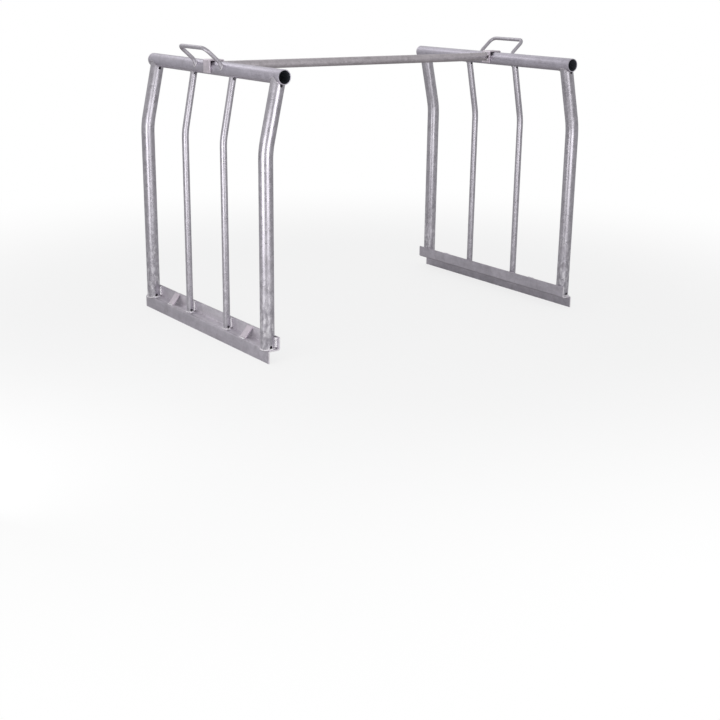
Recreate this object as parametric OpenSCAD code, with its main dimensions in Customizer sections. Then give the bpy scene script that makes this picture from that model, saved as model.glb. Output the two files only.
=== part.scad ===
// Steel pallet collar: two loose end frames that clamp over the short edges of a
// flat pallet, and a connecting bar that hooks over both of their crossbars.
// Millimetres. X runs along the pallet, Z is up. The origin lies on the floor plane of
// the downturned flanges, midway between the two frames.
// Every frame piece is modelled at the +X end and mirrored for the -X end.

/* [Pallet seat] */
// Length of the pallet that the two rails clamp over
pallet_length = 1200; // [1000:1:1400]
// Play between the pallet's end and each downturned flange
seat_play = 6; // [2:0.5:10]
// Free height from the pallet's deck to the top of the crossbars
load_height = 804; // [600:1:1200]

/* [Folded rail] */
// Length of each rail, across the pallet
rail_length = 800; // [700:1:1000]
// Thickness of the folded sheet
rail_t = 4; // [3:0.5:5]
// Overall width of the flat web that lies on the deck
rail_web = 40; // [36:0.5:60]
// Reach of the downturned flange below the deck
flange_drop = 36; // [20:0.5:60]
// Height of the upturned flange above the deck
flange_rise = 40; // [30:0.5:60]
// Inside radius of both folds
rail_bend_r = 3; // [1:0.5:5]

/* [Corner posts] */
// Outer diameter of the corner post tube
post_d = 42.4; // [33.7:0.1:48.3]
// Wall of the corner post tube
post_wall = 2.6; // [2:0.1:4]
// Distance from the end of the rail to the axis of a corner post
post_inset = 30; // [27:0.5:60]
// Centreline radius of the crank in a corner post
post_bend_r = 250; // [150:1:350]

/* [Middle uprights] */
// Outer diameter of the thin upright tube
upright_d = 21.3; // [17.2:0.1:26.9]
// Wall of the thin upright tube
upright_wall = 2; // [1.5:0.1:3]
// Gap between a middle upright and the upturned flange, filled by its weld
upright_gap = 5.3; // [3:0.1:6]
// Distance between the axes of the two middle uprights
upright_pitch = 240; // [220:1:320]
// Centreline radius of the crank in a middle upright
upright_bend_r = 200; // [120:1:300]

/* [Crossbar] */
// Outer diameter of the crossbar tube
crossbar_d = 42.4; // [38:0.1:48.3]
// Wall of the crossbar tube
crossbar_wall = 2.6; // [2:0.1:4]
// Distance from the rail's outer face in to the crossbar's axis
crossbar_inset = 60; // [45:0.5:80]
// Distance from the crossbar's axis down to the crank of the uprights
crank_drop = 203; // [150:1:300]

/* [Handle] */
// Diameter of the handle's round rod
handle_rod_d = 12; // [10:0.5:14]
// Distance between the axes of the two handle legs
handle_pitch = 160; // [140:1:180]
// Distance from the crossbar's axis to the grip's axis
handle_reach = 96.5; // [85:0.5:120]
// Outward lean of the handle from the vertical, in degrees
handle_lean = 49.5; // [45:0.5:55]
// Centreline radius of the two grip corners
handle_corner_r = 20; // [14:1:24]
// Centreline radius where each leg bends a little down onto the crossbar's side
handle_foot_r = 24; // [18:1:30]
// Outward lean of the two feet below that bend, in degrees
handle_foot_lean = 25; // [20:1:32]

/* [Hooks] */
// Width of the flat bar that each hook is folded from
hook_width = 40; // [36:1:60]
// Thickness of the hook's flat bar
hook_t = 4; // [3:0.5:6]
// Overall height of a hook
hook_height = 40; // [36:0.5:60]
// Inside radius of the hook's two folds
hook_bend_r = 1.5; // [1:0.5:3]
// Running gap between the crossbar and each leg of the hook
hook_side_gap = 0.5; // [0.3:0.1:2]
// Gap between the crossbar and the hook's top plate
hook_top_gap = 0.3; // [0.2:0.1:1]

/* [Connecting tube] */
// Outer diameter of the connecting tube
tie_d = 26.9; // [21.3:0.1:28]
// Wall of the connecting tube
tie_wall = 2.3; // [2:0.1:3]

/* [Gusset straps] */
// Width of the flat strap, along the rail
gusset_width = 30; // [20:1:40]
// Thickness of the strap
gusset_t = 5; // [3:0.5:6]
// Distance from a gusset's middle to the axis of the upright beside it
gusset_offset = 115; // [90:1:130]

/* [Zinc vent holes] */
// Diameter of the vent holes and notches
vent_d = 9; // [6:0.5:10]
// Height of the foot vents' axis above the web
vent_height = 7; // [6:0.5:12]

/* [Welds] */
// Leg of the fillet round the foot of every upright
foot_weld = 4; // [3:0.5:5]
// Leg of the fillet between an upright, or a handle foot, and the crossbar
saddle_weld = 3.5; // [2:0.5:5]
// Leg of the fillet under the part of a corner post that stands out past the rail
toe_weld = 6.5; // [5:0.5:8]
// Radius of the vertical beads between an upright and the upturned flange
seam_weld_r = 5; // [4.5:0.5:6]
// Radius of the beads at the ends of a gusset strap
strap_weld_r = 4; // [3:0.5:5]
// Leg of the fillet round each end of the connecting tube
tie_weld = 4; // [3:0.5:5]

/* [Hidden] */
$fn = 72;

// Levels
deck_z = flange_drop;
web_top_z = deck_z + rail_t;
flange_top_z = deck_z + flange_rise;
crossbar_z = deck_z + load_height - crossbar_d / 2;
crank_z = crossbar_z - crank_drop;

// Places along the pallet, measured out from its middle
outer_face_x = pallet_length / 2 + seat_play + rail_t;
inner_face_x = outer_face_x - rail_web;
flange_out_x = inner_face_x + rail_t;
fold_out_r = rail_bend_r + rail_t;
web_flat_in_x = flange_out_x + rail_bend_r;
web_flat_out_x = outer_face_x - fold_out_r;
post_gap = 0.3;
post_x = flange_out_x + post_gap + post_d / 2;
upright_x = flange_out_x + upright_gap + upright_d / 2;
crossbar_x = outer_face_x - crossbar_inset;

// Places across the pallet
post_y = rail_length / 2 - post_inset;
upright_y = upright_pitch / 2;
gusset_y = upright_y + gusset_offset;

// Trim of a coped tube end, short of the crossbar's axis, so that its ears keep some metal
ear_trim = 5;
// Depth of a handle foot's axis inside the crossbar's side, level with the crossbar's axis
handle_seat = 5.7;
// Distance from the crossbar's axis out to the axis of a handle foot, at the same level
handle_foot_x = crossbar_d / 2 - handle_seat;
// Reach of the bead under a handle foot below the crossbar's axis
handle_weld_drop = 5.5;

// Hook and connecting tube
hook_inner_half = crossbar_d / 2 + hook_side_gap;
hook_outer_half = hook_inner_half + hook_t;
hook_top_z = crossbar_z + crossbar_d / 2 + hook_top_gap + hook_t;
tie_z = hook_top_z - hook_height / 2;
tie_end_x = crossbar_x - hook_outer_half;
tie_vent_x = tie_end_x - vent_d / 2 + 0.5;

// Over-length of a cutting tool past the face that it cuts
over = 1;
// A bent length draws down by a hair, and the straight lengths lap it by this much
bend_draw = 0.02;
lap = 0.3;

zinc = [0.67, 0.66, 0.69];
zinc_dark = [0.56, 0.55, 0.58];
zinc_bright = [0.76, 0.75, 0.78];

// Angle from the vertical at which an upright with this foot leans in above its crank
function lean(foot_x) = atan2(foot_x - crossbar_x, crank_drop);

// Puts a piece of the +X frame at the -X end
module at_left() {
    mirror([1, 0, 0]) children();
}

// Moves to the crossbar's axis, at the middle of its length
module at_crossbar() {
    translate([crossbar_x, 0, crossbar_z]) children();
}

// Stands up a profile drawn in X and Z and extrudes it along Y, centred
module along_rail(length) {
    rotate([90, 0, 0]) linear_extrude(height = length, center = true) children();
}

// A round bar along Y, centred
module bar_y(d, length) {
    rotate([90, 0, 0]) cylinder(d = d, h = length, center = true);
}

// A quarter ring that turns a fold from +X to +Z about its own centre
module fold_section() {
    intersection() {
        difference() {
            circle(r = fold_out_r);
            circle(r = rail_bend_r);
        }
        square(fold_out_r);
    }
}

// Section of the folded rail: down over the pallet's end, across the deck and up
module rail_section() {
    translate([outer_face_x - rail_t, 0]) square([rail_t, web_top_z - fold_out_r]);
    translate([web_flat_out_x, web_top_z - fold_out_r]) fold_section();
    translate([inner_face_x + fold_out_r, deck_z])
        square([web_flat_out_x - inner_face_x - fold_out_r, rail_t]);
    translate([inner_face_x + fold_out_r, deck_z + fold_out_r]) rotate(180) fold_section();
    translate([inner_face_x, deck_z + fold_out_r]) square([rail_t, flange_rise - fold_out_r]);
}

// One sheet folded twice into a rail
module rail() {
    color(zinc) along_rail(rail_length) rail_section();
}

// A bend in the X and Z plane, swept up from +X about the origin
module bend(d, bend_r, angle) {
    rotate([90, 0, 0]) rotate_extrude(angle = angle) translate([bend_r, 0]) circle(d = d - bend_draw);
}

// Path of an upright as a solid bar: straight, cranked in, then straight to the crossbar.
// below lengthens it at the foot and short stops it before the crossbar's axis.
module cranked_bar(d, foot_x, bend_r, below, short) {
    angle = lean(foot_x);
    tangent = bend_r * tan(angle / 2);
    bend_z = crank_z - tangent;
    slope_length = crank_drop / cos(angle) - tangent - short;
    translate([foot_x, 0, web_top_z - below]) cylinder(d = d, h = bend_z - web_top_z + below + lap);
    translate([foot_x - bend_r, 0, bend_z]) bend(d, bend_r, angle);
    translate([foot_x - bend_r * (1 - cos(angle)), 0, bend_z + bend_r * sin(angle)])
        rotate([0, -angle, 0]) translate([0, 0, -lap]) cylinder(d = d, h = slope_length + lap);
}

// Drills through both sides of an upright, at its foot and under the crossbar
module vent_drills(d, foot_x) {
    reach = crossbar_d / 2 + vent_d / 3;
    translate([foot_x, 0, web_top_z + vent_height]) bar_y(vent_d, d + 20);
    at_crossbar() rotate([0, -lean(foot_x), 0]) translate([0, 0, -reach]) bar_y(vent_d, d + 20);
}

// A hollow upright, coped under the crossbar and seated on the rail
module upright_tube(d, wall, foot_x, y, bend_r) {
    difference() {
        translate([0, y, 0]) cranked_bar(d, foot_x, bend_r, 0, ear_trim);
        translate([0, y, 0]) cranked_bar(d - 2 * wall, foot_x, bend_r, over, 0);
        translate([0, y, 0]) vent_drills(d, foot_x);
        at_crossbar() bar_y(crossbar_d, rail_length + 2 * over);
        along_rail(rail_length + 2 * over) rail_section();
    }
}

module corner_post(side) {
    color(zinc) upright_tube(post_d, post_wall, post_x, side * post_y, post_bend_r);
}

module middle_upright(side) {
    color(zinc) upright_tube(upright_d, upright_wall, upright_x, side * upright_y, upright_bend_r);
}

// The top tube, as long as the rail and open at both ends
module crossbar() {
    color(zinc) at_crossbar() difference() {
        bar_y(crossbar_d, rail_length);
        bar_y(crossbar_d - 2 * crossbar_wall, rail_length + 2 * over);
    }
}

// One handle leg: a foot coped onto the crossbar's outer side, a slight bend, a leaning leg and a
// corner
module handle_half() {
    turn = handle_lean - handle_foot_lean;
    tangent = handle_foot_r * tan(turn / 2);
    bend_z = handle_foot_x / (tan(handle_lean) - tan(handle_foot_lean));
    foot_rise = bend_z / cos(handle_foot_lean) - tangent;
    foot_depth = handle_rod_d / 2;
    leg_start = bend_z / cos(handle_lean) + tangent;
    leg_end = handle_reach - handle_corner_r;
    translate([handle_foot_x, handle_pitch / 2, 0]) rotate([0, handle_foot_lean, 0]) {
        translate([0, 0, -foot_depth]) cylinder(d = handle_rod_d, h = foot_depth + foot_rise + lap);
        translate([handle_foot_r, 0, foot_rise])
            rotate([0, turn - 180, 0]) bend(handle_rod_d, handle_foot_r, turn);
    }
    rotate([0, handle_lean, 0]) {
        translate([0, handle_pitch / 2, leg_start - lap])
            cylinder(d = handle_rod_d, h = leg_end - leg_start + 2 * lap);
        translate([0, handle_pitch / 2 - handle_corner_r, leg_end])
            rotate([0, 0, 90]) bend(handle_rod_d, handle_corner_r, 90);
        translate([0, 0, handle_reach]) rotate([-90, 0, 0])
            cylinder(d = handle_rod_d, h = handle_pitch / 2 - handle_corner_r + lap);
    }
}

// A bent rod with its two feet welded to the crossbar's outer side
module handle() {
    color(zinc) at_crossbar() difference() {
        union() {
            handle_half();
            mirror([0, 1, 0]) handle_half();
        }
        bar_y(crossbar_d, rail_length);
    }
}

// Section of a strap that props the upturned flange's top edge off the web
module gusset_section() {
    rise = flange_top_z - web_top_z;
    run = web_flat_out_x - flange_out_x;
    slope = atan2(rise, run);
    polygon([
        [flange_out_x, flange_top_z],
        [web_flat_out_x, web_top_z],
        [web_flat_out_x - gusset_t / sin(slope), web_top_z],
        [flange_out_x, flange_top_z - gusset_t / cos(slope)]
    ]);
}

module gusset(side) {
    color(zinc_bright) translate([0, side * gusset_y, 0]) along_rail(gusset_width) gusset_section();
}

// Fillet on the flat of the web round the foot of an upright
module foot_fillet(d, foot_x) {
    flat = web_flat_out_x - web_flat_in_x;
    difference() {
        intersection() {
            translate([foot_x, 0, web_top_z])
                rotate_extrude() polygon([[d / 2, 0], [d / 2 + foot_weld, 0], [d / 2, foot_weld]]);
            translate([web_flat_in_x, -d, web_top_z - over]) cube([flat, 2 * d, foot_weld + 2 * over]);
        }
        vent_drills(d, foot_x);
    }
}

// Weld that carries the part of a corner post that stands out past the rail's rounded edge
module overhang_fillet() {
    difference() {
        translate([post_x, 0, web_top_z - toe_weld])
            cylinder(r1 = post_d / 2 - toe_weld, r2 = post_d / 2, h = toe_weld);
        along_rail(post_d + 2 * over) rail_section();
        translate([inner_face_x, -post_d, -over])
            cube([rail_web - rail_t / 2, 2 * post_d, deck_z + rail_t / 2 + over]);
    }
}

// Two vertical beads that tie an upright to the face of the upturned flange. Each bead's
// axis stands as far off the flange as off the tube, so that it bites into both.
module seam_beads(d, foot_x) {
    bead_off = 0.55 * seam_weld_r;
    flange_to_bead = foot_x - flange_out_x - bead_off;
    bead_y = sqrt(max(0, pow(d / 2 + bead_off, 2) - pow(flange_to_bead, 2)));
    difference() {
        for (side = [-1, 1])
            translate([flange_out_x + bead_off, side * bead_y, web_top_z])
                cylinder(r = seam_weld_r, h = flange_rise - rail_t);
        translate([foot_x, 0, 0]) cylinder(d = d, h = flange_top_z + over);
        translate([inner_face_x - rail_t, -d, 0]) cube([2 * rail_t, 2 * d, flange_top_z + over]);
        along_rail(2 * d) rail_section();
    }
}

// A bead along each end of a gusset strap
module strap_beads() {
    along_rail(gusset_width) difference() {
        union() {
            translate([web_flat_out_x, web_top_z]) circle(r = strap_weld_r);
            translate([flange_out_x, flange_top_z]) circle(r = strap_weld_r / 2);
        }
        rail_section();
        gusset_section();
        translate([flange_out_x, deck_z]) square([web_flat_out_x - flange_out_x - strap_weld_r, rail_t]);
    }
}

// All the welds between one rail and what stands on it
module rail_welds() {
    color(zinc_bright) for (side = [-1, 1]) {
        translate([0, side * post_y, 0]) {
            foot_fillet(post_d, post_x);
            overhang_fillet();
            seam_beads(post_d, post_x);
        }
        translate([0, side * upright_y, 0]) {
            foot_fillet(upright_d, upright_x);
            seam_beads(upright_d, upright_x);
        }
        translate([0, side * gusset_y, 0]) strap_beads();
    }
}

// Bead in the corner between the crossbar and a tube of diameter d that leans into it
module saddle_bead(d, foot_x) {
    weld_d = 2 * saddle_weld;
    length = crossbar_d + weld_d;
    difference() {
        at_crossbar() intersection() {
            bar_y(crossbar_d + weld_d, d + 2 * weld_d);
            rotate([0, -lean(foot_x), 0]) translate([0, 0, -length]) cylinder(d = d + weld_d, h = length - ear_trim / 2);
        }
        at_crossbar() bar_y(crossbar_d, 2 * d + 2 * weld_d);
        at_crossbar() rotate([0, -lean(foot_x), 0]) translate([0, 0, -2 * length]) cylinder(d = d, h = 3 * length);
        vent_drills(d + weld_d, foot_x);
    }
}

// The saddle welds between one crossbar and its four uprights
module crossbar_welds() {
    color(zinc_bright) for (side = [-1, 1]) {
        translate([0, side * post_y, 0]) saddle_bead(post_d, post_x);
        translate([0, side * upright_y, 0]) saddle_bead(upright_d, upright_x);
    }
}

// A bar of diameter d along the axis of a handle foot and on through the crossbar
module foot_bar(d) {
    translate([handle_foot_x, 0, 0]) rotate([0, handle_foot_lean, 0])
        cylinder(d = d, h = 4 * crossbar_d, center = true);
}

// The beads round the two handle feet, cut level below the toes
module handle_welds() {
    weld_d = 2 * saddle_weld;
    color(zinc_bright) at_crossbar() for (foot = [-1, 1]) translate([0, foot * handle_pitch / 2, 0])
        difference() {
            intersection() {
                bar_y(crossbar_d + weld_d, handle_rod_d + 2 * weld_d);
                foot_bar(handle_rod_d + weld_d);
                translate([0, -crossbar_d, -handle_weld_drop]) cube(2 * crossbar_d);
            }
            bar_y(crossbar_d, handle_rod_d + 3 * weld_d);
            foot_bar(handle_rod_d);
        }
}

// A flat-bottomed block with two round upper corners, standing on the X axis
module rounded_top(width, height, r) {
    translate([-width / 2, 0]) square([width, height - r]);
    translate([r - width / 2, 0]) square([width - 2 * r, height]);
    for (side = [-1, 1]) translate([side * (width / 2 - r), height - r]) circle(r = r);
}

// A flat bar folded twice into a square hook that drops over the crossbar
module hook() {
    color(zinc_bright) translate([crossbar_x, 0, hook_top_z - hook_height])
        along_rail(hook_width) difference() {
            rounded_top(2 * hook_outer_half, hook_height, hook_bend_r + hook_t);
            translate([0, -hook_t]) rounded_top(2 * hook_inner_half, hook_height, hook_bend_r);
        }
}

// Notches in the tube's ends that let the zinc run out
module tie_vents() {
    for (side = [-1, 1]) translate([side * tie_vent_x, 0, tie_z]) bar_y(vent_d, 2 * tie_d);
}

// The tube that holds the two frames together, butted between the hooks
module connecting_tube() {
    color(zinc_dark) difference() {
        translate([-tie_end_x, 0, tie_z]) rotate([0, 90, 0]) difference() {
            cylinder(d = tie_d, h = 2 * tie_end_x);
            translate([0, 0, -over]) cylinder(d = tie_d - 2 * tie_wall, h = 2 * (tie_end_x + over));
        }
        tie_vents();
    }
}

// A fillet round each end of the connecting tube, on the hook's inner leg
module bar_welds() {
    color(zinc_bright) difference() {
        for (side = [0, 1]) mirror([side, 0, 0]) translate([tie_end_x, 0, tie_z]) rotate([0, -90, 0])
            rotate_extrude() polygon([[tie_d / 2, 0], [tie_d / 2 + tie_weld, 0], [tie_d / 2, tie_weld]]);
        tie_vents();
    }
}

at_left() rail();  // left_rail
at_left() corner_post(-1);  // left_front_post
at_left() corner_post(1);  // left_back_post
at_left() middle_upright(-1);  // left_front_upright
at_left() middle_upright(1);  // left_back_upright
at_left() crossbar();  // left_crossbar
at_left() handle();  // left_handle
at_left() gusset(-1);  // left_front_gusset
at_left() gusset(1);  // left_back_gusset
at_left() rail_welds();  // left_rail_welds
at_left() crossbar_welds();  // left_crossbar_welds
at_left() handle_welds();  // left_handle_welds
rail();  // right_rail
corner_post(-1);  // right_front_post
corner_post(1);  // right_back_post
middle_upright(-1);  // right_front_upright
middle_upright(1);  // right_back_upright
crossbar();  // right_crossbar
handle();  // right_handle
gusset(-1);  // right_front_gusset
gusset(1);  // right_back_gusset
rail_welds();  // right_rail_welds
crossbar_welds();  // right_crossbar_welds
handle_welds();  // right_handle_welds
connecting_tube();
at_left() hook();  // left_hook
hook();  // right_hook
bar_welds();
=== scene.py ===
"""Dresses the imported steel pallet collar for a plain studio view.

Two end frames of folded rail and bent tube are tied by a bar with a square hook at each end.
The bent uprights and the connecting tube stay as packed and get their zinc finish here. The
other pieces are remade in the same places: rails, straps and hooks with eased edges, crossbars
and handles with smooth round surfaces, and each weld as a rippled bead. Sizes are in metres.
Each shape is worked out for the +X frame and mirrored for the -X frame.
"""

from __future__ import annotations

import itertools
import logging
import math
from dataclasses import dataclass, field
from enum import Enum, IntEnum

import bmesh
import bpy
from bpy.types import Material, Mesh, Node, NodeSocket, NodeTree, Object
from mathutils import Matrix, Vector

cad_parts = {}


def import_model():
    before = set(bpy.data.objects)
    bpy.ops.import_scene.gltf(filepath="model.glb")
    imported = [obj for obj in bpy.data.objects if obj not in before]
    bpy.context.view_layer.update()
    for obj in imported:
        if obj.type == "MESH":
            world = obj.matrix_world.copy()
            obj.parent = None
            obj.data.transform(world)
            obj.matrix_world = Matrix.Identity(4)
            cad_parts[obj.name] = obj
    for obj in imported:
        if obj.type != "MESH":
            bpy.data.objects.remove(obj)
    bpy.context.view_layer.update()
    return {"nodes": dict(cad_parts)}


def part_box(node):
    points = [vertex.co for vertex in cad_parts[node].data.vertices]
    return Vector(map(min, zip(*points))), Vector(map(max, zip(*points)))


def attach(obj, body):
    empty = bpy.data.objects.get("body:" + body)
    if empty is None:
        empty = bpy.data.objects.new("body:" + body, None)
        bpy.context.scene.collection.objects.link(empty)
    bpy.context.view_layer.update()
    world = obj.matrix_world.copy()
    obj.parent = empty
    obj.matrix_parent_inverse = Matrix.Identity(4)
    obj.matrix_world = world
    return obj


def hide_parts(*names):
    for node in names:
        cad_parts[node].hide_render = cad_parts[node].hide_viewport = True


LOG = logging.getLogger("pallet_collar")
MM = 0.001
WHITE = (1.0, 1.0, 1.0, 1.0)

Colour = tuple[float, float, float]
Outline = list[tuple[float, float]]
Path = list[Vector]


class Side(Enum):
    """An end of the collar, as the sign of its X."""

    LEFT = -1
    RIGHT = 1

    @property
    def word(self) -> str:
        """The side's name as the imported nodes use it."""
        return self.name.lower()


class End(Enum):
    """An end of a frame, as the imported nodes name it."""

    FRONT = "front"
    BACK = "back"


class Axis(IntEnum):
    """An axis, as the place of its coordinate in a vector."""

    X = 0
    Y = 1
    Z = 2


class Slot(Enum):
    """The record's material slots."""

    TUBE = "galvanised_tube"
    SHEET = "galvanised_sheet"
    ROD = "galvanised_rod"
    WELD = "galvanised_weld"


class Grain(Enum):
    """A layer of noise: the size of its largest forms, its finer layers and their share."""

    WARP = (18 * MM, 2.0, 0.5)
    FEATHER = (3 * MM, 5.0, 0.65)
    BLOTCH = (60 * MM, 4.0, 0.6)
    RUN = (9 * MM, 3.0, 0.6)
    CLOT = (8 * MM, 2.0, 0.6)
    STAIN_AND_SHADE = (35 * MM, 5.0, 0.65)
    RIPPLE = (8 * MM, 1.0, 0.5)
    BORE_PATCH = (14 * MM, 5.0, 0.65)
    BORE_GRAIN = (1.5 * MM, 3.0, 0.6)
    BEAD_DRIFT = (9 * MM, 2.0, 0.5)
    BEAD_LUMP = (5 * MM, 2.0, 0.5)


@dataclass(frozen=True)
class Level:
    """A number on a shader socket, with the operators of arithmetic.

    Attributes:
        kit: The tree that the maths is added to.
        socket: The output socket that gives the number.
    """

    kit: NodeKit
    socket: NodeSocket

    def __add__(self, other: Level | float) -> Level:
        """Sum."""
        return self.kit.maths("ADD", self, other)

    def __radd__(self, other: float) -> Level:
        """Sum, with a plain number first."""
        return self.kit.maths("ADD", other, self)

    def __sub__(self, other: Level | float) -> Level:
        """Difference."""
        return self.kit.maths("SUBTRACT", self, other)

    def __rsub__(self, other: float) -> Level:
        """Difference, with a plain number first."""
        return self.kit.maths("SUBTRACT", other, self)

    def __mul__(self, other: Level | float) -> Level:
        """Product."""
        return self.kit.maths("MULTIPLY", self, other)

    def __rmul__(self, other: float) -> Level:
        """Product, with a plain number first."""
        return self.kit.maths("MULTIPLY", other, self)

    def __truediv__(self, other: Level | float) -> Level:
        """Quotient."""
        return self.kit.maths("DIVIDE", self, other)

    def __rtruediv__(self, other: float) -> Level:
        """Quotient, with a plain number first."""
        return self.kit.maths("DIVIDE", other, self)

    def swing(self, share: float) -> Level:
        """How far the number lies from 0.5, times a share."""
        return (self - 0.5) * share

    def rise(self, low: float, high: float) -> Level:
        """Goes smoothly from 0 at low to 1 at high."""
        inputs = {0: self, 1: low, 2: high}
        return self.kit.level("ShaderNodeMapRange", inputs, interpolation_type="SMOOTHSTEP")

    def held(self) -> Level:
        """The number kept from 0 to 1."""
        return self.kit.maths("MINIMUM", self.kit.maths("MAXIMUM", self, 0.0), 1.0)


class NodeKit:
    """Adds nodes to one tree and links them."""

    def __init__(self, tree: NodeTree) -> None:
        """Empties the tree of a material, a world or a Geometry Nodes modifier."""
        self.tree = tree
        tree.nodes.clear()

    def _feed(self, socket: NodeSocket, value: object) -> None:
        """Links an input, or sets it where there is nothing to link.

        Args:
            socket: The input socket.
            value: A socket, a Level or a plain value.
        """
        if isinstance(value, Level):
            value = value.socket
        if isinstance(value, NodeSocket):
            self.tree.links.new(value, socket)
        else:
            socket.default_value = value

    def add(self, kind: str, inputs: dict | None = None, **settings: object) -> Node:
        """Adds a node.

        Args:
            kind: The node's type.
            inputs: A value, a socket or a Level for each input, by name or number.
            **settings: Properties that are set before the inputs.

        Returns:
            The node.
        """
        node = self.tree.nodes.new(kind)
        for name, value in settings.items():
            setattr(node, name, value)
        for key, value in (inputs or {}).items():
            self._feed(node.inputs[key], value)
        return node

    def level(self, kind: str, inputs: dict, output: int | str = 0, **settings: object) -> Level:
        """Adds a node and gives one of its outputs as a number."""
        return Level(self, self.add(kind, inputs, **settings).outputs[output])

    def maths(self, operation: str, *terms: Level | float) -> Level:
        """Adds a Math node with its inputs in order."""
        return self.level("ShaderNodeMath", dict(enumerate(terms)), operation=operation)

    def vector(self, operation: str, *terms: object) -> NodeSocket:
        """Adds a Vector Math node with its inputs in order."""
        return self.add("ShaderNodeVectorMath", dict(enumerate(terms)), operation=operation).outputs[0]

    def object_point(self) -> NodeSocket:
        """The shaded point in the object's own coordinates."""
        return self.add("ShaderNodeTexCoord").outputs["Object"]

    def component(self, vector: NodeSocket, axis: Axis) -> Level:
        """One coordinate of a vector."""
        return self.level("ShaderNodeSeparateXYZ", {0: vector}, axis.name)

    def stretched(self, at: NodeSocket, axis: Axis, along: float, across: float = 1.0) -> NodeSocket:
        """Scales a point by one factor along an axis and by another across it."""
        return self.vector("MULTIPLY", at, tuple(along if one is axis else across for one in Axis))

    def texture(self, at: NodeSocket, grain: Grain, seed: NodeSocket | None = None) -> Node:
        """Adds a Noise Texture node.

        Args:
            at: The point that it is read at.
            grain: The layer of noise.
            seed: What picks one pattern out of many, where there are several.

        Returns:
            The node.
        """
        size, detail, rough = grain.value
        inputs = {"Vector": at, "Scale": 1 / size, "Detail": detail, "Roughness": rough}
        if seed is None:
            return self.add("ShaderNodeTexNoise", inputs)
        return self.add("ShaderNodeTexNoise", inputs | {"W": seed}, noise_dimensions="4D")

    def noise(self, at: NodeSocket, grain: Grain, seed: NodeSocket | None = None) -> Level:
        """A texture's noise, from 0 to 1."""
        return Level(self, self.texture(at, grain, seed).outputs[0])

    def shift(self, texture: Node, reach: float | NodeSocket) -> NodeSocket:
        """A random vector about nought, from a texture's colour and a scale in metres."""
        colour = self.vector("SUBTRACT", texture.outputs["Color"], (0.5, 0.5, 0.5))
        return self.add("ShaderNodeVectorMath", {0: colour, "Scale": reach}, operation="SCALE").outputs[0]

    def crystals(self, at: NodeSocket, size: float) -> Level:
        """One random number from 0 to 1 for each crystal of a size in metres."""
        cells = self.add("ShaderNodeTexVoronoi", {"Vector": at, "Scale": 1 / size})
        return self.level("ShaderNodeSeparateColor", {0: cells.outputs["Color"]})

    def blend(self, factor: Level, low: Colour | NodeSocket, high: Colour | NodeSocket) -> NodeSocket:
        """Mixes two colours.

        Args:
            factor: The share of the second colour.
            low: The first colour.
            high: The second colour.

        Returns:
            The mixed colour.
        """
        node = self.add("ShaderNodeMix", data_type="RGBA")
        sockets = {socket.identifier: socket for socket in (*node.inputs, *node.outputs)}
        self._feed(sockets["Factor_Float"], factor)
        for key, colour in (("A_Color", low), ("B_Color", high)):
            self._feed(sockets[key], (*colour, 1.0) if isinstance(colour, tuple) else colour)
        return sockets["Result_Color"]

    def seen(self) -> Level:
        """Tells the camera's own rays from all other light.

        Returns:
            1 where the camera looks, straight or through glass, and 0 elsewhere.
        """
        light = self.add("ShaderNodeLightPath").outputs
        straight, through = light["Is Camera Ray"], light["Is Transmission Ray"]
        return self.maths("MAXIMUM", Level(self, straight), Level(self, through))

    def coat(self, skin: NodeSocket, rough: Level, metallic: float, bump: dict) -> None:
        """Ends a material's tree with one Principled surface.

        Args:
            skin: Its base colour.
            rough: Its roughness, which is kept from 0 to 1.
            metallic: The share of bare metal in it.
            bump: The inputs of its Bump node.
        """
        normal = self.add("ShaderNodeBump", bump).outputs[0]
        inputs = {"Base Color": skin, "Roughness": rough.held(), "Metallic": metallic, "Normal": normal}
        surface = self.add("ShaderNodeBsdfPrincipled", inputs)
        self.add("ShaderNodeOutputMaterial", {"Surface": surface.outputs[0]})


def new_material(name: str) -> tuple[Material, NodeKit]:
    """Starts a material.

    Args:
        name: Its name.
    """
    made = bpy.data.materials.new(name)
    made.use_nodes = True
    return made, NodeKit(made.node_tree)


# How the layers of the zinc make its colour. Tones run from 0, the dark colour, to 1, the light one.
WARP_REACH = 9 * MM
SMALL_CRYSTAL = 0.37
SMALL_CRYSTAL_TONE = 0.6
RUN_STRETCH = 0.12
# The stain colour tints the stain patches and is also the tint of the painted shade on faces that point
# down.
STAIN_AND_SHADE: Colour = (0.22, 0.19, 0.2)
STAIN_LEVELS = (0.5, 0.75)
# Painted shade: how far faces that point down are darkened towards the stain colour, and over what range of
# downward facing.
UNDERSIDE_PAINTED_SHADE = 0.5
UNDERSIDE_SHADE_LEVELS = (0.0, 0.95)
FEATHER_ROUGHNESS = 1.2

# Low on the upright tubes the zinc ran thick, in clots with bright flecks; the near-white flecks are partly
# painted glints. Heights are in metres.
SPLASH_FADE = (0.08, 0.34)
CLOT_STRETCH = 0.4
CLOT_TONE = 1.8
CLOT_DULLING = 0.1
FLECK_AND_GLINT: Colour = (0.93, 0.91, 0.94)
FLECK_AND_GLINT_LEVELS = (0.48, 0.66)
FLECK_AND_GLINT_SHARE = 0.6

# The share of each layer in the height of the zinc's bumps.
CRYSTAL_HEIGHT = 0.06
FEATHER_HEIGHT = 0.03
RUN_HEIGHT = 0.35
CLOT_HEIGHT = 2.0
RIPPLE_SQUEEZE = 0.35
BUMP_STRENGTH = 0.8


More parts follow.
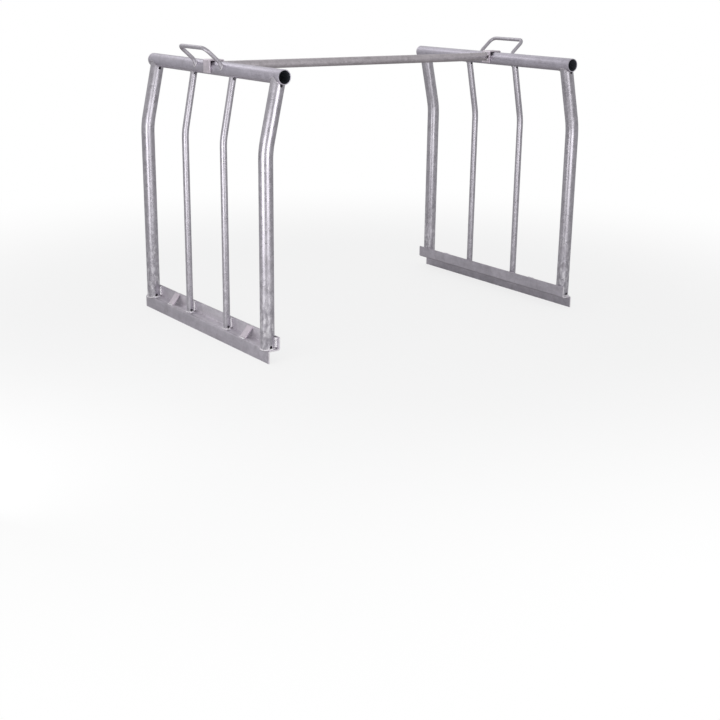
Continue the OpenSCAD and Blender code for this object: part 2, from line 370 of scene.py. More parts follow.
@dataclass(frozen=True)
class ZincFinish:
    """Hot-dip galvanising: spangle, blotches and runs under a satin skin, with painted shade on faces that
    point down.

    Attributes:
        name: The material's name.
        dark: The darkest zinc.
        light: The brightest zinc.
        spangle: The size of a zinc crystal.
        spangle_share: How far crystals differ in tone.
        blotch_share: How far the broad patches differ in tone.
        run_share: How far the runs along the piece differ in tone.
        stain_share: The most stain in a patch.
        grain_share: How far the fine grain differs in tone.
        rough: The mean roughness.
        rough_share: How far roughness differs between crystals.
        metallic: The share of bare metal in the skin.
        relief: The height of the zinc's bumps.
        ripple: The share of the ripples in the bumps.
        axis: The axis that the piece runs along.
        splash: The share of thick zinc low on the piece, with its clots, bright flecks that are partly
            painted glints, and bumps.
    """

    name: str
    dark: Colour
    light: Colour
    spangle: float = 11 * MM
    spangle_share: float = 0.25
    blotch_share: float = 0.7
    run_share: float = 0.5
    stain_share: float = 0.2
    grain_share: float = 0.4
    rough: float = 0.42
    rough_share: float = 0.2
    metallic: float = 0.88
    relief: float = 0.3 * MM
    ripple: float = 0.6
    axis: Axis = Axis.Z
    splash: float = 0.0

    def material(self) -> Material:
        """Builds the material.

        Returns:
            The material, which reads Object coordinates.
        """
        made, kit = new_material(self.name)
        at = kit.object_point()
        warped = kit.vector("ADD", at, kit.shift(kit.texture(at, Grain.WARP), WARP_REACH))
        coarse = kit.crystals(warped, self.spangle)
        fine = kit.crystals(warped, self.spangle * SMALL_CRYSTAL)
        feather = kit.noise(at, Grain.FEATHER)
        blotch = kit.noise(at, Grain.BLOTCH)
        runs = kit.noise(kit.stretched(at, self.axis, RUN_STRETCH), Grain.RUN)
        ripples = kit.noise(kit.stretched(at, self.axis, 1.0, RIPPLE_SQUEEZE), Grain.RIPPLE)
        clots = kit.noise(kit.stretched(at, Axis.Z, CLOT_STRETCH), Grain.CLOT)
        thick = (1.0 - kit.component(at, Axis.Z).rise(*SPLASH_FADE)) * self.splash

        tone = 0.5 + coarse.swing(self.spangle_share) + fine.swing(self.spangle_share * SMALL_CRYSTAL_TONE)
        tone = tone + feather.swing(self.grain_share) + blotch.swing(self.blotch_share)
        tone = tone + runs.swing(self.run_share) + thick * (clots.swing(CLOT_TONE) - CLOT_DULLING)
        skin = kit.blend(tone.held(), self.dark, self.light)
        # Near-white flecks low on the tube: bright zinc clots that are partly painted glints.
        skin = kit.blend(clots.rise(*FLECK_AND_GLINT_LEVELS) * thick * FLECK_AND_GLINT_SHARE, skin, FLECK_AND_GLINT)
        patch = kit.noise(at, Grain.STAIN_AND_SHADE).rise(*STAIN_LEVELS) * self.stain_share
        skin = kit.blend(patch, skin, STAIN_AND_SHADE)
        # Painted shade: faces are blended towards the stain colour the more they point down.
        upward = kit.component(kit.add("ShaderNodeNewGeometry").outputs["Normal"], Axis.Z)
        painted_underside_shade = (0.0 - upward).rise(*UNDERSIDE_SHADE_LEVELS) * UNDERSIDE_PAINTED_SHADE
        skin = kit.blend(painted_underside_shade, skin, STAIN_AND_SHADE)

        rough = self.rough + coarse.swing(self.rough_share)
        rough = rough + feather.swing(self.rough_share * FEATHER_ROUGHNESS)
        height = coarse * CRYSTAL_HEIGHT + feather * FEATHER_HEIGHT + runs * RUN_HEIGHT
        height = height + ripples * self.ripple + clots * thick * CLOT_HEIGHT
        bump = {"Strength": BUMP_STRENGTH, "Distance": self.relief, "Height": height}
        kit.coat(skin, rough, self.metallic, bump)
        return made


@dataclass(frozen=True)
class BoreShadeFinish:
    """The inside of a tube, painted near black as shade, with dull patches and grain.

    Attributes:
        name: The material's name.
        dark: The darkest painted shade.
        light: The lightest painted shade.
        patch_share: The share of broad patches in the tone; fine grain makes the rest.
        rough: The least roughness.
        rough_share: How far roughness differs between patches.
        metallic: The share of bare metal.
        relief: The height of the grain.
        strength: The strength of its bumps.
    """

    name: str = "painted_shade_bore"
    dark: Colour = (0.02, 0.022, 0.03)
    light: Colour = (0.09, 0.097, 0.12)
    patch_share: float = 0.7
    rough: float = 0.5
    rough_share: float = 0.3
    metallic: float = 0.3
    relief: float = 0.3 * MM
    strength: float = 0.4

    def material(self) -> Material:
        """Builds the material.

        Returns:
            The material, which reads Object coordinates.
        """
        made, kit = new_material(self.name)
        at = kit.object_point()
        patch = kit.noise(at, Grain.BORE_PATCH)
        grain = kit.noise(at, Grain.BORE_GRAIN)
        tone = patch * self.patch_share + grain * (1.0 - self.patch_share)
        skin = kit.blend(tone.held(), self.dark, self.light)
        bump = {"Strength": self.strength, "Distance": self.relief, "Height": grain}
        kit.coat(skin, self.rough + patch * self.rough_share, self.metallic, bump)
        return made


class Skin(Enum):
    """The finishes of the collar: name, darkest and brightest tone, and what else sets them apart."""

    POST = ZincFinish(
        "zinc_on_tube", (0.35, 0.333, 0.37), (0.65, 0.623, 0.68), run_share=0.6, grain_share=0.1,
        rough=0.31, rough_share=0.1, relief=0.17 * MM, ripple=0.3, splash=0.8,
    )
    UPRIGHT = ZincFinish(
        "zinc_on_thin_tube", (0.36, 0.343, 0.38), (0.66, 0.632, 0.69), spangle_share=0.2, blotch_share=0.6,
        grain_share=0.08, rough=0.31, rough_share=0.1, relief=0.12 * MM, ripple=0.3, splash=0.25,
    )
    CROSSBAR = ZincFinish(
        "zinc_on_crossbar", (0.41, 0.388, 0.445), (0.70, 0.665, 0.755), blotch_share=0.5, run_share=0.2,
        rough_share=0.12, relief=0.25 * MM, axis=Axis.Y,
    )
    TIE = ZincFinish(
        "zinc_on_connecting_tube", (0.405, 0.375, 0.40), (0.73, 0.68, 0.72), blotch_share=0.5,
        run_share=0.2, stain_share=0.3, rough=0.45, rough_share=0.12, axis=Axis.X,
    )
    SHEET = ZincFinish(
        "zinc_on_sheet", (0.38, 0.358, 0.40), (0.66, 0.625, 0.69), spangle=16 * MM, blotch_share=0.8,
        rough_share=0.12, metallic=0.8, axis=Axis.Y,
    )
    # A lighter copy of the sheet's finish for the web's upper face and the flange's outer face: painted
    # light.
    SHEET_INSIDE = ZincFinish(
        "zinc_inside_rail", (0.52, 0.495, 0.54), (0.86, 0.82, 0.88), spangle=16 * MM, blotch_share=0.5,
        run_share=0.4, stain_share=0.1, rough=0.46, rough_share=0.12, metallic=0.65, axis=Axis.Y,
    )
    # A lighter finish for the rail's two end faces: painted light.
    SHEET_EDGE = ZincFinish(
        "zinc_on_sheet_edge", (0.70, 0.67, 0.71), (0.94, 0.90, 0.95), spangle=5 * MM, stain_share=0.1,
        rough=0.5, metallic=0.5,
    )
    FLAT_BAR = ZincFinish(
        "zinc_on_flat_bar", (0.62, 0.565, 0.62), (0.93, 0.85, 0.93), spangle=9 * MM, stain_share=0.1,
        rough=0.45, metallic=0.8, relief=0.5 * MM,
    )
    ROD = ZincFinish(
        "zinc_on_rod", (0.40, 0.38, 0.42), (0.70, 0.67, 0.73), spangle=6 * MM, blotch_share=0.5,
        run_share=0.15, grain_share=0.25, rough=0.44, relief=0.25 * MM, ripple=0.3,
    )
    WELD = ZincFinish(
        "zinc_on_weld", (0.52, 0.50, 0.53), (0.95, 0.925, 0.96), spangle=4 * MM, spangle_share=0.42,
        stain_share=0.15, rough=0.36, relief=0.5 * MM, ripple=0.3,
    )
    # A darker copy of the weld finish for the beads under the crossbar: painted shade.
    SADDLE_WELD = ZincFinish(
        "zinc_on_saddle_weld", (0.40, 0.38, 0.41), (0.72, 0.69, 0.74), spangle=4 * MM, spangle_share=0.42,
        stain_share=0.15, relief=0.5 * MM, ripple=0.3,
    )
    # Near-black painted shade for the inside of the crossbar.
    BORE_PAINTED_SHADE = BoreShadeFinish()

    @property
    def material(self) -> Material:
        """The finish's material, which is built when it is first asked for."""
        return bpy.data.materials.get(self.value.name) or self.value.material()


def arc(cx: float, cz: float, radius: float, start: float, end: float, steps: int) -> Outline:
    """Points on an arc, ends included.

    Args:
        cx: The centre's first coordinate.
        cz: The centre's second coordinate.
        radius: The radius.
        start: The first angle, in degrees.
        end: The last angle, in degrees.
        steps: How many chords it has.

    Returns:
        The points.
    """
    turns = [math.radians(start + (end - start) * i / steps) for i in range(steps + 1)]
    return [(cx + radius * math.cos(t), cz + radius * math.sin(t)) for t in turns]


def evenly(low: float, high: float, steps: int) -> list[float]:
    """Numbers from low to high in equal steps, ends included."""
    return [low + (high - low) * i / steps for i in range(steps + 1)]


def placed(name: str, data: bpy.types.ID) -> Object:
    """Puts a new object in the scene.

    Args:
        name: The object's name.
        data: Its mesh, lamp or camera.

    Returns:
        The object.
    """
    made = bpy.data.objects.new(name, data)
    bpy.context.scene.collection.objects.link(made)
    return made


def evaluated(made: Object) -> Mesh:
    """A new mesh of an object as its modifiers shape it."""
    graph = bpy.context.evaluated_depsgraph_get()
    return bpy.data.meshes.new_from_object(made.evaluated_get(graph))


def bridge(work: bmesh.types.BMesh, rings: list[list[bmesh.types.BMVert]], closed: bool = False) -> None:
    """Joins each ring of points to the next with a band of faces.

    Args:
        work: The mesh under construction.
        rings: The rings, all with the same number of points.
        closed: Whether the last ring is joined to the first.
    """
    following = rings[1:] + rings[:1] if closed else rings[1:]
    for one, two in zip(rings, following):
        for i in range(len(one)):
            j = (i + 1) % len(one)
            work.faces.new((one[i], one[j], two[j], two[i]))


def shown(name: str, work: bmesh.types.BMesh, skins: list[Skin], crease: float) -> Object:
    """Closes a mesh under construction and puts it in the scene.

    Args:
        name: The object's name.
        work: The mesh, in metres, in place.
        skins: Its finishes, by face index.
        crease: The angle in degrees past which an edge stays sharp.

    Returns:
        The object, at the origin.
    """
    bmesh.ops.remove_doubles(work, verts=work.verts, dist=0.001 * MM)
    bmesh.ops.recalc_face_normals(work, faces=work.faces)
    mesh = bpy.data.meshes.new(name)
    work.to_mesh(mesh)
    work.free()
    mesh.shade_smooth()
    mesh.set_sharp_from_angle(angle=math.radians(crease))
    for skin in skins:
        mesh.materials.append(skin.material)
    return placed(name, mesh)


def eased(made: Object, width: float, steps: int, angle: float = 40.0) -> None:
    """Rounds the sharp edges of a piece and keeps the result as its mesh.

    Args:
        made: The piece.
        width: The width of the rounding.
        steps: Its number of facets.
        angle: Edges sharper than this are rounded, in degrees.
    """
    bevel = made.modifiers.new("eased_edges", "BEVEL")
    bevel.width = width
    bevel.segments = steps
    bevel.limit_method = "ANGLE"
    bevel.angle_limit = math.radians(angle)
    bevel.harden_normals = True
    mesh = evaluated(made)
    made.modifiers.clear()
    made.data = mesh
    mesh.name = made.name


def folded_bar(
    name: str, section: Outline, ends: tuple[float, float], side: Side, skins: list[Skin]
) -> Object:
    """A section in X and Z, drawn along Y.

    Args:
        name: The object's name.
        section: The outline, for the +X side.
        ends: The Y of its first and of its last end.
        side: The end of the collar that it stands at.
        skins: Its finish and, where that differs, the finish of its two end faces.

    Returns:
        The piece.
    """
    work = bmesh.new()
    rings = [[work.verts.new((side.value * x, y, z)) for x, z in section] for y in ends]
    bridge(work, rings)
    for ring in rings:
        work.faces.new(ring).material_index = len(skins) - 1
    return shown(name, work, skins, crease=35)


@dataclass(frozen=True)
class WeldShape:
    """The sizes of one kind of weld bead.

    Attributes:
        radius: The bead's radius.
        pitch: The distance from ripple to ripple.
        depth: The ripples' share of the radius.
        wander: How far the bead strays from its path.
    """

    radius: float
    pitch: float = 2.3 * MM
    depth: float = 0.26
    wander: float = 0.5 * MM


FOOT_BEAD = WeldShape(2.9 * MM, wander=0.8 * MM)
SEAM_BEAD = WeldShape(5.0 * MM, pitch=3.4 * MM, depth=0.2, wander=0.6 * MM)
STRAP_TOE_BEAD = WeldShape(3.0 * MM)
STRAP_TOP_BEAD = WeldShape(1.7 * MM)
SADDLE_BEAD = WeldShape(1.7 * MM)
HANDLE_BEAD = WeldShape(1.8 * MM)
TUBE_END_BEAD = WeldShape(2.4 * MM)

# One bead: its path, its sizes and the seed of its noise.
Run = tuple[Path, WeldShape, int]

# The first seed of each piece's beads and the step to the next ones.
RAIL_SEEDS = (10, 10)
SADDLE_SEEDS = (100, 5)
HANDLE_SEEDS = (200, 1)
TUBE_END_SEEDS = (300, 20)
SEAM_SEED = 5  # What a seam bead adds to the seed of the foot bead on its tube.


class WeldLayer:
    """Lays rippled beads along paths with one Geometry Nodes tree."""

    SIZES = ("Bead Radius", "Ripple Pitch", "Ripple Depth", "Wander")
    STEP = 0.2  # The distance between a bead's rings, as a share of its pitch.
    FACETS = 12
    LUMPS = 0.4  # The most that a lump adds, as a share of the bead's radius.
    CORE = 0.8  # The radius halfway up a ripple, before the lumps, as a share of the bead's.
    BLUNT = 0.55  # The thickness of a bead's very ends, as a share of its own.
    ENDS = 14.0  # What part of a bead's length each tapered end takes up: one in this many.

    def __init__(self, skin: Skin) -> None:
        """Builds the tree.

        Args:
            skin: The beads' usual finish.
        """
        self.skin = skin
        self.tree = bpy.data.node_groups.new("weld_bead", "GeometryNodeTree")
        face = self.tree.interface
        face.new_socket(name="Geometry", in_out="INPUT", socket_type="NodeSocketGeometry")
        for name in self.SIZES:
            face.new_socket(name=name, in_out="INPUT", socket_type="NodeSocketFloat")
        face.new_socket(name="Seed", in_out="INPUT", socket_type="NodeSocketInt")
        face.new_socket(name="Geometry", in_out="OUTPUT", socket_type="NodeSocketGeometry")
        self._wire()

    def _wire(self) -> None:
        """Adds the tree's nodes."""
        kit = NodeKit(self.tree)
        given = kit.add("NodeGroupInput").outputs
        radius, pitch, depth = (Level(kit, given[name]) for name in self.SIZES[:3])
        curve = kit.add("GeometryNodeMeshToCurve", {0: given["Geometry"]}).outputs[0]
        spacing = {"Curve": curve, "Length": pitch * self.STEP}
        even = kit.add("GeometryNodeResampleCurve", spacing, mode="LENGTH").outputs[0]
        place = kit.add("GeometryNodeInputPosition").outputs[0]
        stray = kit.shift(kit.texture(place, Grain.BEAD_DRIFT, given["Seed"]), given["Wander"])
        moved = kit.add("GeometryNodeSetPosition", {"Geometry": even, "Offset": stray}).outputs[0]
        along = kit.add("GeometryNodeSplineParameter").outputs
        share = kit.maths("FRACT", Level(kit, along["Length"]) / pitch)
        scallop = 0.5 - share * share
        uneven = kit.noise(place, Grain.BEAD_LUMP, given["Seed"])
        done = Level(kit, along["Factor"])
        ends = kit.maths("MINIMUM", done * self.ENDS, (1.0 - done) * self.ENDS)
        taper = self.BLUNT + ends.held() * (1.0 - self.BLUNT)
        size = radius * (self.CORE + scallop * depth + uneven * self.LUMPS) * taper
        circle = {"Resolution": self.FACETS, "Radius": 1.0}
        ring = kit.add("GeometryNodeCurvePrimitiveCircle", circle).outputs[0]
        sweep = {"Curve": moved, "Profile Curve": ring, "Scale": size, "Fill Caps": True}
        made = kit.add("GeometryNodeCurveToMesh", sweep).outputs[0]
        made = kit.add("GeometryNodeSetShadeSmooth", {"Geometry": made}).outputs[0]
        made = kit.add("GeometryNodeRealizeInstances", {"Geometry": made}).outputs[0]
        coat = {"Geometry": made, "Material": self.skin.material}
        kit.add("NodeGroupOutput", {0: kit.add("GeometryNodeSetMaterial", coat).outputs[0]})

    def beads(self, name: str, runs: list[Run], skin: Skin | None = None) -> Object:
        """Lays beads and joins them into one piece.

        Args:
            name: The piece's name.
            runs: The beads.
            skin: The piece's finish, where it isn't the usual one.

        Returns:
            The piece.
        """
        work = bmesh.new()
        for run in runs:
            mesh = self._bead(run)
            work.from_mesh(mesh)
            bpy.data.meshes.remove(mesh)
        return shown(name, work, [skin or self.skin], crease=60)

    def _bead(self, run: Run) -> Mesh:
        """Lays one bead.

        Args:
            run: The bead, which is a ring where the ends of its path meet.

        Returns:
            Its mesh.
        """
        path, shape, seed = run
        line = bpy.data.meshes.new("weld_path")
        touching = 0.01 * MM
        closed = (path[0] - path[-1]).length < touching
        points = path[:-1] if closed else path
        edges = list(itertools.pairwise(range(len(points))))
        if closed:
            edges.append((len(points) - 1, 0))
        line.from_pydata(points, edges, [])
        carrier = placed("weld_path", line)
        nodes = carrier.modifiers.new("weld_bead", "NODES")
        nodes.node_group = self.tree
        sizes = (shape.radius, shape.pitch, shape.depth, shape.wander, seed)
        sockets = [s for s in self.tree.interface.items_tree if s.in_out == "INPUT"][1:]
        for socket, size in zip(sockets, sizes):
            nodes[socket.identifier] = size
        mesh = evaluated(carrier)
        bpy.data.objects.remove(carrier)
        bpy.data.meshes.remove(line)
        return mesh


@dataclass
class FoldedRail:
    """The sheet rail of one end frame and the straps that prop its upturned flange.

    Attributes:
        side: The end of the collar.
        t: The sheet's thickness.
        bend: The inside radius of its folds.
        drop: The reach of the downturned flange below the deck.
        strap_t: A strap's thickness.
        edge: The rounding of the rail's cut edges.
        strap_edge: The rounding of a strap's edges.
        inner: The X of the upturned flange's inner face, at +X.
        outer: The X of the downturned flange's outer face, at +X.
        low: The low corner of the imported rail's box.
        high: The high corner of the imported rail's box.
    """

    side: Side
    t: float = 4 * MM
    bend: float = 3 * MM
    drop: float = 36 * MM
    strap_t: float = 5 * MM
    edge: float = 0.7 * MM
    strap_edge: float = 1.0 * MM
    inner: float = field(init=False)
    outer: float = field(init=False)
    low: Vector = field(init=False)
    high: Vector = field(init=False)

    def __post_init__(self) -> None:
        """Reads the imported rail's box."""
        self.low, self.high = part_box(f"{self.side.word}_rail")
        self.inner, self.outer = sorted((abs(self.low.x), abs(self.high.x)))

    @property
    def web_top(self) -> float:
        """The height of the web's upper face."""
        return self.low.z + self.drop + self.t

    @property
    def flange_out(self) -> float:
        """The X of the upturned flange's outer face, at +X."""
        return self.inner + self.t

    @property
    def web_end(self) -> float:
        """The X where the web's flat ends and the outer fold begins, at +X."""
        return self.outer - self.t - self.bend

    def _section(self) -> Outline:
        """Draws the rail's section, for the +X side.

        Returns:
            The outline in X and Z.
        """
        big = self.bend + self.t
        down_x, down_z = self.web_end, self.web_top - big
        up_x, up_z = self.inner + big, self.low.z + self.drop + big
        points = [(self.outer, self.low.z)]
        points += arc(down_x, down_z, big, 0, 90, steps=10)
        points += arc(up_x, up_z, self.bend, 270, 180, steps=8)
        points += [(self.flange_out, self.high.z), (self.inner, self.high.z)]
        points += arc(up_x, up_z, big, 180, 270, steps=10)
        points += arc(down_x, down_z, self.bend, 90, 0, steps=8)
        return points + [(self.outer - self.t, self.low.z)]

    def build(self) -> list[Object]:
        """Makes the rail and its straps.

        Returns:
            The pieces.
        """
        word = self.side.word
        name, ends = f"{word}_folded_rail", (self.low.y, self.high.y)
        # The rail's two end faces take the lighter finish, as painted light.
        rail = folded_bar(name, self._section(), ends, self.side, [Skin.SHEET, Skin.SHEET_EDGE])
        eased(rail, self.edge, steps=2)
        self._paint_light_inside(rail)
        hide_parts(f"{word}_rail")
        return [rail, *(self._strap(end) for end in End)]

    def _paint_light_inside(self, rail: Object) -> None:
        """Paints the web's upper face and the upturned flange's outer face with a lighter copy of the
        sheet's finish, as painted light where shade falls in the corner between them.

        Args:
            rail: The rail.
        """
        rail.data.materials.append(Skin.SHEET_INSIDE.material)
        last = len(rail.data.materials) - 1
        slack = 0.1 * MM
        for face in rail.data.polygons:
            inside = self.flange_out - slack < abs(face.center.x) < self.web_end
            sawn_end = abs(face.normal.y) > 0.5
            if inside and not sawn_end and face.center.z > self.web_top - slack:
                face.material_index = last

    def _strap(self, end: End) -> Object:
        """Makes a strap.

        Args:
            end: Which one.

        Returns:
            The piece.
        """
        node = f"{self.side.word}_{end.value}_gusset"
        low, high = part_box(node)
        slope = math.atan2(self.high.z - self.web_top, self.web_end - self.flange_out)
        section = [
            (self.flange_out, self.high.z),
            (self.web_end, self.web_top),
            (self.web_end - self.strap_t / math.sin(slope), self.web_top),
            (self.flange_out, self.high.z - self.strap_t / math.cos(slope)),
        ]
        name = f"{self.side.word}_{end.value}_strap"
        strap = folded_bar(name, section, (low.y, high.y), self.side, [Skin.FLAT_BAR])
        eased(strap, self.strap_edge, steps=3)
        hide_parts(node)
        return strap


@dataclass
class TopTube:
    """The crossbar of one end frame.

    Attributes:
        side: The end of the collar.
        wall: The tube's wall.
        lip: The rounding of its sawn ends.
        facets: The number of facets round it.
        node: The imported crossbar's name.
        low: The low corner of its box.
        high: The high corner of its box.
        axis: The middle of its axis.
        radius: Its radius.
    """

    side: Side
    wall: float = 2.6 * MM
    lip: float = 0.5 * MM
    facets: int = 96
    node: str = field(init=False)
    low: Vector = field(init=False)
    high: Vector = field(init=False)
    axis: Vector = field(init=False)
    radius: float = field(init=False)

    def __post_init__(self) -> None:
        """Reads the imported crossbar's box."""
        self.node = f"{self.side.word}_crossbar"
        self.low, self.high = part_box(self.node)
        self.axis = (self.low + self.high) / 2
        self.radius = (self.high.z - self.low.z) / 2

    def _profile(self) -> list[tuple[float, float]]:
        """Goes round the section of the wall, with its rounded ends.

        Returns:
            The radius and the Y of each ring.
        """
        bore = self.radius - self.wall
        lip = self.lip
        turns_in, turns_out = (1.57, 1.0, 0.4), (0.8, 1.2, 1.57)
        rings = [(bore + lip - lip * math.sin(a), lip - lip * math.cos(a)) for a in turns_in]
        rings += [(self.radius - lip + lip * math.sin(a), lip - lip * math.cos(a)) for a in turns_out]
        first = [(r, self.low.y + back) for r, back in rings]
        return first + [(r, self.high.y - back) for r, back in reversed(rings)]

    def build(self) -> Object:
        """Makes the tube.

        Returns:
            The piece.
        """
        work = bmesh.new()
        rings = []
        for radius, y in self._profile():
            ring = []
            for i in range(self.facets):
                turn = math.tau * i / self.facets
                x = self.axis.x + radius * math.cos(turn)
                ring.append(work.verts.new((x, y, self.axis.z + radius * math.sin(turn))))
            rings.append(ring)
        bridge(work, rings, closed=True)
        slack = 0.05 * MM
        # Faces inside the bore take the near-black painted shade.
        for face in work.faces:
            middle = face.calc_center_median() - self.axis
            in_bore = math.hypot(middle.x, middle.z) < self.radius - self.wall + slack
            face.material_index = int(in_bore)
        tube = shown(f"{self.side.word}_top_tube", work, [Skin.CROSSBAR, Skin.BORE_PAINTED_SHADE], crease=50)
        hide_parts(self.node)
        return tube


@dataclass
class LiftHandle:
    """The bent rod handle of one end frame, in the crossbar's own frame.

    Attributes:
        side: The end of the collar.
        axis: The middle of the crossbar's axis.
        bar: The crossbar's radius.
        rod: The rod's diameter.
        foot_x: The distance from the crossbar's axis to a foot's axis, level with it.
        foot_lean: The lean of a foot from the vertical, in degrees.
        foot_bend: The centreline radius over each foot.
        pitch: The distance between the legs.
        reach: The distance from the crossbar's axis to the grip's axis.
        lean: The handle's lean from the vertical, in degrees.
        corner: The centreline radius of its corners.
        sunk: How far a foot's end is let into the crossbar's wall.
        facets: The number of facets round the rod.
    """

    side: Side
    axis: Vector
    bar: float
    rod: float = 12 * MM
    foot_x: float = 15.5 * MM
    foot_lean: float = 25.0
    foot_bend: float = 24 * MM
    pitch: float = 160 * MM
    reach: float = 96.5 * MM
    lean: float = 49.5
    corner: float = 20 * MM
    sunk: float = 0.6 * MM
    facets: int = 32

    def foot(self) -> tuple[Vector, Vector]:
        """A foot's axis level with the crossbar's, without its Y, and the direction up the foot."""
        slope = math.radians(self.foot_lean)
        return Vector((self.foot_x, 0, 0)), Vector((math.sin(slope), 0, math.cos(slope)))

    def seated(self, spot: Vector, radius: float) -> Vector:
        """Slides a point along a foot's direction.

        Args:
            spot: The point.
            radius: The distance from the crossbar's axis where it stops, on the outer side.

        Returns:
            The new point.
        """
        up = self.foot()[1]
        flat = Vector((spot.x, 0, spot.z))
        along = flat.dot(up)
        aside_squared = flat.length_squared - along * along
        return spot + up * (math.sqrt(radius * radius - aside_squared) - along)

    def path(self) -> Path:
        """Lays out the rod's centreline, for the +X side.

        Returns:
            The points from foot to foot, measured from the middle of the crossbar's axis.
        """
        lean, slope = math.radians(self.lean), math.radians(self.foot_lean)
        half = self.pitch / 2
        base, up = self.foot()
        tangent = self.foot_bend * math.tan((lean - slope) / 2)
        bend_z = self.foot_x / (math.tan(lean) - math.tan(slope))
        under = base + up * (bend_z / math.cos(slope) - tangent)
        centre = under + Vector((up.z, 0, -up.x)) * self.foot_bend
        knee = arc(centre.x, centre.z, self.foot_bend, 180 - self.foot_lean, 180 - self.lean, steps=8)
        points = [Vector((x, half, z)) for x, z in [(base.x, base.z)] + knee]
        for y, s in arc(half - self.corner, self.reach - self.corner, self.corner, 0, 90, steps=14):
            points.append(Vector((s * math.sin(lean), y, s * math.cos(lean))))
        return points + [Vector((p.x, -p.y, p.z)) for p in reversed(points)]

    def build(self) -> Object:
        """Sweeps the rod and fits its feet to the crossbar.

        Returns:
            The piece.
        """
        work = bmesh.new()
        path = self.path()
        last = len(path) - 1
        skin = self.bar - self.sunk
        turns = [math.tau * k / self.facets for k in range(self.facets)]
        rings = []
        across = Vector((1, 0, 0))
        for i, point in enumerate(path):
            ahead = (path[min(i + 1, last)] - path[max(i - 1, 0)]).normalized()
            across = (across - ahead * across.dot(ahead)).normalized()
            other = ahead.cross(across)
            spots = [point + (across * math.cos(t) + other * math.sin(t)) * (self.rod / 2) for t in turns]
            if i in (0, last):
                spots = [self.seated(spot, skin) for spot in spots]
            rings.append([work.verts.new(spot) for spot in spots])
        bridge(work, rings)
        for ring, point in ((rings[0], path[0]), (rings[-1], path[-1])):
            middle = work.verts.new(self.seated(point, skin))
            for i in range(self.facets):
                work.faces.new((ring[i], ring[(i + 1) % self.facets], middle))
        work.transform(Matrix.Diagonal((self.side.value, 1, 1, 1)))
        work.transform(Matrix.Translation(self.axis))
        handle = shown(f"{self.side.word}_bent_handle", work, [Skin.ROD], crease=40)
        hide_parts(f"{self.side.word}_handle")
        return handle


@dataclass(frozen=True)
class Stem:
    """Where an upright tube of the +X frame stands, and how thick it is.

    Attributes:
        d: The tube's diameter.
        x: The X of its foot's axis.
        y: The Y of its axis.
    """

    d: float
    x: float
    y: float

    @classmethod
    def of(cls, node: str) -> Stem:
        """Reads the box of a packed upright, whose foot stands furthest out.

        Args:
            node: Its name.

        Returns:
            The stem.
        """
        low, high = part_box(node)
        d = high.y - low.y
        return cls(d, max(abs(low.x), abs(high.x)) - d / 2, (low.y + high.y) / 2)


